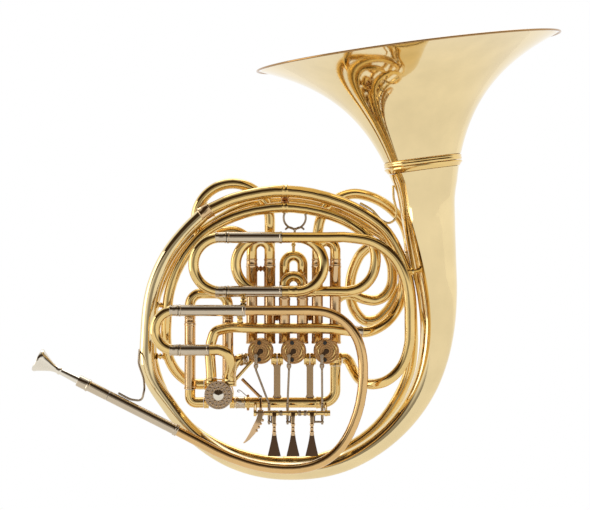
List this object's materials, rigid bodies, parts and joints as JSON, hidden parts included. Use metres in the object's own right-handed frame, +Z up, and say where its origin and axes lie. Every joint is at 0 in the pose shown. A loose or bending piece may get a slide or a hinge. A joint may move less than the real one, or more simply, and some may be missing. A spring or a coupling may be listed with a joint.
{
  "type": "french horn",
  "caption": "Double french horn with a wide screw bell, a coiled body, rotary valves, sprung finger levers, a thumb change valve and pull-out tuning slides.",
  "frame": {"origin": "on the axis of the middle valve, where the left hand holds the horn, at the depth of the bell's axis", "axes": "+X from the mouthpiece towards the bell, +Y away from the player's side, +Z up towards the bell's rim"},
  "size_m": [0.5334, 0.3118, 0.4553],
  "materials": {
    "brass": "polished",
    "rose_brass": "polished",
    "nickel_silver": "polished",
    "silver": "polished",
    "plate": "satin",
    "bronze": "satin",
    "steel": "satin"
  },
  "bodies": {
    "horn": {"throat_ring": "brass", "bell_throat": "brass", "outer_coil": "brass", "first_branch": "brass", "main_slide_elbow": "brass", "f_supply_tube": "brass", "f_return_bow": "brass", "f_inner_coil": "brass", "thumb_slide_elbow": "brass", "bottom_tube": "brass", "valve_link_tube": "brass", "third_valve_loop": "brass", "first_valve_casing": "brass", "second_valve_casing": "brass", "third_valve_casing": "brass", "thumb_valve_casing": "brass", "first_valve_rear_cap": "brass", "second_valve_rear_cap": "brass", "third_valve_rear_cap": "brass", "thumb_valve_rear_cap": "brass", "leadpipe": "rose_brass", "valve_brace_1": "rose_brass", "valve_brace_2": "rose_brass", "mouthpiece_receiver": "nickel_silver", "main_sleeve_upper": "nickel_silver", "main_sleeve_lower": "nickel_silver", "f_sleeve_upper": "nickel_silver", "f_sleeve_lower": "nickel_silver", "thumb_slide_sleeve_left": "nickel_silver", "thumb_slide_sleeve_right": "nickel_silver", "third_bow_sleeve": "nickel_silver", "first_valve_front_plate": "plate", "second_valve_front_plate": "plate", "third_valve_front_plate": "plate", "thumb_valve_front_plate": "plate", "lever_axle_frame": "steel", "leadpipe_brace": "steel"},
    "bell": {"bell_flare": "brass", "bell_ring": "brass"},
    "mouthpiece": {"mouthpiece": "silver"},
    "main_slide": {"main_tuning_slide": "brass"},
    "f_slide": {"f_main_slide": "brass"},
    "thumb_slide": {"thumb_valve_slide": "brass"},
    "first_front_slide": {"first_valve_slide_front": "brass"},
    "first_rear_slide": {"first_valve_slide_rear": "brass"},
    "second_front_slide": {"second_valve_slide_front": "brass"},
    "second_rear_slide": {"second_valve_slide_rear": "brass"},
    "third_front_slide": {"third_valve_slide_front": "brass"},
    "third_rear_slide": {"third_valve_slide_rear": "brass"},
    "first_rotor": {"first_valve_rotor": "bronze"},
    "second_rotor": {"second_valve_rotor": "bronze"},
    "third_rotor": {"third_valve_rotor": "bronze"},
    "thumb_rotor": {"thumb_valve_rotor": "bronze"},
    "lever_1": {"finger_lever_1": "bronze"},
    "lever_2": {"finger_lever_2": "bronze"},
    "lever_3": {"finger_lever_3": "bronze"},
    "rod_1": {"push_rod_1": "steel"},
    "rod_2": {"push_rod_2": "steel"},
    "rod_3": {"push_rod_3": "steel"},
    "thumb_lever": {"thumb_lever": "silver"}
  },
  "joints": [
    {"name": "bell_lift", "type": "slide", "parent": "horn", "child": "bell", "axis": [-0.1288, 0, 0.9917], "range_m": [0, 0.04]},
    {"name": "mouthpiece_pull", "type": "slide", "parent": "horn", "child": "mouthpiece", "axis": [-0.8918, 0, 0.4524], "range_m": [0, 0.022]},
    {"name": "main_slide_pull", "type": "slide", "parent": "horn", "child": "main_slide", "axis": [-1, 0, 0], "range_m": [0, 0.025]},
    {"name": "f_slide_pull", "type": "slide", "parent": "horn", "child": "f_slide", "axis": [-1, 0, 0], "range_m": [0, 0.035]},
    {"name": "thumb_slide_pull", "type": "slide", "parent": "horn", "child": "thumb_slide", "axis": [0, 0, 1], "range_m": [0, 0.018]},
    {"name": "first_front_pull", "type": "slide", "parent": "horn", "child": "first_front_slide", "axis": [0, 0, 1], "range_m": [0, 0.012]},
    {"name": "first_rear_pull", "type": "slide", "parent": "horn", "child": "first_rear_slide", "axis": [0, 0, 1], "range_m": [0, 0.022]},
    {"name": "second_front_pull", "type": "slide", "parent": "horn", "child": "second_front_slide", "axis": [0, 0, 1], "range_m": [0, 0.018]},
    {"name": "second_rear_pull", "type": "slide", "parent": "horn", "child": "second_rear_slide", "axis": [0, 0, 1], "range_m": [0, 0.018]},
    {"name": "third_front_pull", "type": "slide", "parent": "horn", "child": "third_front_slide", "axis": [0, 0, 1], "range_m": [0, 0.012]},
    {"name": "third_rear_pull", "type": "slide", "parent": "horn", "child": "third_rear_slide", "axis": [0, 0, 1], "range_m": [0, 0.012]},
    {"name": "lever_1_press", "type": "hinge", "parent": "horn", "child": "lever_1", "pos_m": [-0.0193, -0.04, -0.061], "axis": [1, 0, 0], "range_deg": [0, 22.1], "stiffness_Nm_per_rad": 0.03, "springref_deg": -34.38},
    {"name": "first_rotor_turn", "type": "hinge", "parent": "horn", "child": "first_rotor", "pos_m": [-0.0333, 0, 0], "axis": [0, 1, 0], "range_deg": [-0.5, 90.5]},
    {"name": "rod_1_tilt", "type": "hinge", "parent": "lever_1", "child": "rod_1", "pos_m": [-0.0247, -0.0175, -0.071], "axis": [1, 0, 0], "range_deg": [-21, 0.5]},
    {"name": "lever_2_press", "type": "hinge", "parent": "horn", "child": "lever_2", "pos_m": [-0.0005, -0.04, -0.061], "axis": [1, 0, 0], "range_deg": [0, 22.1], "stiffness_Nm_per_rad": 0.03, "springref_deg": -34.38},
    {"name": "second_rotor_turn", "type": "hinge", "parent": "horn", "child": "second_rotor", "pos_m": [0, 0, 0], "axis": [0, 1, 0], "range_deg": [-0.5, 90.5]},
    {"name": "rod_2_tilt", "type": "hinge", "parent": "lever_2", "child": "rod_2", "pos_m": [-0.006, -0.0175, -0.071], "axis": [1, 0, 0], "range_deg": [-21, 0.5]},
    {"name": "lever_3_press", "type": "hinge", "parent": "horn", "child": "lever_3", "pos_m": [0.0184, -0.04, -0.061], "axis": [1, 0, 0], "range_deg": [0, 22.1], "stiffness_Nm_per_rad": 0.03, "springref_deg": -34.38},
    {"name": "third_rotor_turn", "type": "hinge", "parent": "horn", "child": "third_rotor", "pos_m": [0.0333, 0, 0], "axis": [0, 1, 0], "range_deg": [-0.5, 90.5]},
    {"name": "rod_3_tilt", "type": "hinge", "parent": "lever_3", "child": "rod_3", "pos_m": [0.029, -0.0175, -0.071], "axis": [1, 0, 0], "range_deg": [-21, 0.5]},
    {"name": "thumb_lever_press", "type": "hinge", "parent": "horn", "child": "thumb_lever", "pos_m": [-0.033, -0.04, -0.061], "axis": [1, 0, 0], "range_deg": [0, 20], "stiffness_Nm_per_rad": 0.03, "springref_deg": -34.38},
    {"name": "thumb_rotor_turn", "type": "hinge", "parent": "horn", "child": "thumb_rotor", "pos_m": [-0.0753, 0, -0.0433], "axis": [0, -1, 0], "range_deg": [-0.5, 90.5]}
  ],
  "couplings": [
    {"joint": "first_rotor_turn", "follows": "lever_1_press", "ratio": 4.0724},
    {"joint": "rod_1_tilt", "follows": "lever_1_press", "ratio": -0.9186},
    {"joint": "second_rotor_turn", "follows": "lever_2_press", "ratio": 4.0724},
    {"joint": "rod_2_tilt", "follows": "lever_2_press", "ratio": -0.9186},
    {"joint": "third_rotor_turn", "follows": "lever_3_press", "ratio": 4.0724},
    {"joint": "rod_3_tilt", "follows": "lever_3_press", "ratio": -0.9186},
    {"joint": "thumb_rotor_turn", "follows": "thumb_lever_press", "ratio": 4.5}
  ]
}
